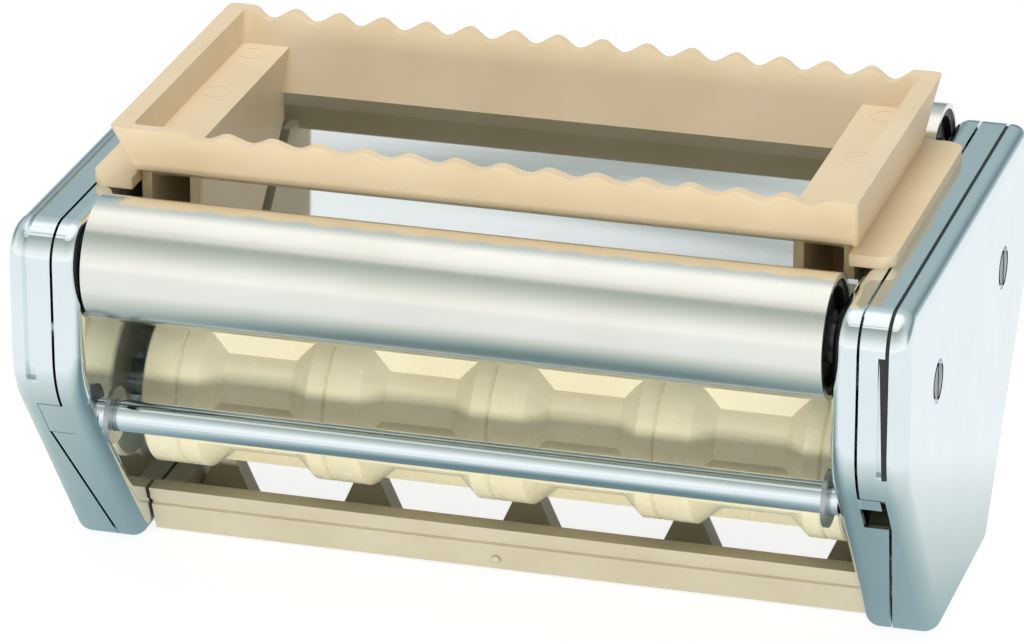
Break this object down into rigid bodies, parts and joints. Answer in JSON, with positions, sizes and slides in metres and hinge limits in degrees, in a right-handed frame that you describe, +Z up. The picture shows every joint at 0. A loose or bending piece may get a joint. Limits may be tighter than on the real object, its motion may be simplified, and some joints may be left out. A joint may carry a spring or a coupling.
{
  "type": "ravioli maker",
  "caption": "Table-top ravioli maker: two pocketed mould rollers between chromed cheeks under a lift-off cream filling hopper, with steel feed rollers.",
  "frame": {"origin": "on the table, under the middle of the maker", "axes": "+X along the rollers to the right cheek, +Y to the back, +Z up"},
  "size_m": [0.193, 0.128, 0.102],
  "materials": {
    "cream_hopper": "satin",
    "cream_comb": "satin",
    "cream_mould": "gloss",
    "chrome_plate": "polished",
    "steel_sheet": "polished",
    "satin_tube": "satin",
    "bright_rod": "polished",
    "turned_steel": "satin",
    "zinc_screws": "satin",
    "black_caps": "matte",
    "bush_plastic": "satin",
    "gear_plastic": "satin"
  },
  "bodies": {
    "frame": {"left_inner_plate": "chrome_plate", "left_cover": "chrome_plate", "left_cover_posts": "turned_steel", "left_cover_screws": "zinc_screws", "right_inner_plate": "chrome_plate", "right_cover": "chrome_plate", "right_cover_posts": "turned_steel", "right_cover_screws": "zinc_screws", "mould_bushes": "bush_plastic", "roller_bushes": "bush_plastic", "front_tie_rod": "bright_rod", "front_guide_plate": "steel_sheet", "rear_tie_rod": "bright_rod", "rear_guide_plate": "steel_sheet", "tie_rod_rings": "turned_steel", "tie_rod_nuts": "turned_steel", "comb": "cream_comb", "comb_screws": "zinc_screws", "guide_screws": "zinc_screws"},
    "front_mould": {"front_mould_segment_1": "cream_mould", "front_mould_segment_2": "cream_mould", "front_mould_segment_3": "cream_mould", "front_mould_segment_4": "cream_mould", "front_mould_collars": "cream_mould", "front_mould_shaft": "turned_steel", "front_gear": "gear_plastic", "front_mould_clips": "turned_steel", "drive_socket": "turned_steel", "socket_pin": "turned_steel"},
    "rear_mould": {"rear_mould_segment_1": "cream_mould", "rear_mould_segment_2": "cream_mould", "rear_mould_segment_3": "cream_mould", "rear_mould_segment_4": "cream_mould", "rear_mould_collars": "cream_mould", "rear_mould_shaft": "turned_steel", "rear_gear": "gear_plastic", "rear_mould_clips": "turned_steel"},
    "front_roller": {"front_roller_tube": "satin_tube", "front_roller_caps": "black_caps", "front_roller_shaft": "turned_steel", "front_roller_clips": "turned_steel"},
    "rear_roller": {"rear_roller_tube": "satin_tube", "rear_roller_caps": "black_caps", "rear_roller_shaft": "turned_steel", "rear_roller_clips": "turned_steel"},
    "hopper": {"hopper": "cream_hopper"}
  },
  "joints": [
    {"name": "front_mould_spin", "type": "hinge", "parent": "frame", "child": "front_mould", "pos_m": [0, -0.0175, 0.0354], "axis": [1, 0, 0], "continuous": true},
    {"name": "rear_mould_spin", "type": "hinge", "parent": "frame", "child": "rear_mould", "pos_m": [0, 0.0175, 0.0354], "axis": [1, 0, 0], "continuous": true},
    {"name": "front_roller_spin", "type": "hinge", "parent": "frame", "child": "front_roller", "pos_m": [0, -0.0508, 0.077], "axis": [1, 0, 0], "continuous": true},
    {"name": "rear_roller_spin", "type": "hinge", "parent": "frame", "child": "rear_roller", "pos_m": [0, 0.0508, 0.077], "axis": [1, 0, 0], "continuous": true},
    {"name": "hopper_lift", "type": "slide", "parent": "frame", "child": "hopper", "axis": [0, 0, 1], "range_m": [0, 0.06]}
  ],
  "couplings": [
    {"joint": "rear_mould_spin", "follows": "front_mould_spin", "ratio": -1}
  ]
}
